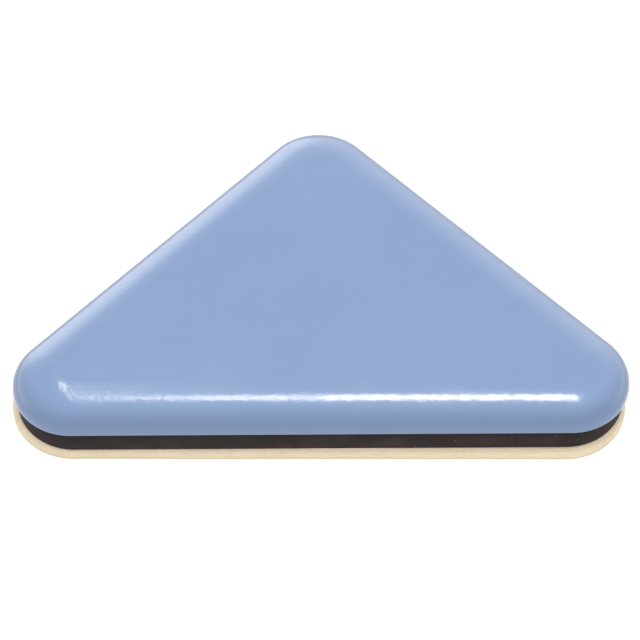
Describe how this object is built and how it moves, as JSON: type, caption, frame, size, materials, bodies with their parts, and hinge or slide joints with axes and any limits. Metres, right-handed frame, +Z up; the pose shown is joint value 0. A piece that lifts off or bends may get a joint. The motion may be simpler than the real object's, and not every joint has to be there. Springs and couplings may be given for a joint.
{
  "type": "furniture slider",
  "caption": "Triangular stick-on furniture slider: a low-friction cap with rounded edges on a rubber cushion, with foam mounting tape and a peel-off paper liner.",
  "frame": {"origin": "centre of the footprint on the surface that the part lies on, under the paper liner", "axes": "+X along the long side, +Y towards the apex, +Z up through the layers and out of the sliding face"},
  "size_m": [0.05, 0.0302, 0.0057],
  "materials": {
    "cap_plastic": "blue-grey moulded PTFE, smooth and waxy with a satin gloss",
    "bond": "thin cured glue film",
    "rubber": "black cushion rubber with a cut edge",
    "adhesive": "clear tacky pressure-sensitive glue coat",
    "foam": "cream closed-cell foam with a die-cut edge",
    "liner_paper": "tan coated release paper"
  },
  "bodies": {
    "liner": {"release_liner": "liner_paper"},
    "slider": {"mount_adhesive": "adhesive", "tape_foam": "foam", "pad_adhesive": "adhesive", "cushion_pad": "rubber", "bond_film": "bond", "glide_cap": "cap_plastic"}
  },
  "joints": [
    {"name": "liner_peel", "type": "slide", "parent": "liner", "child": "slider", "axis": [0, 0, 1], "range_m": [0, 0.012]}
  ]
}
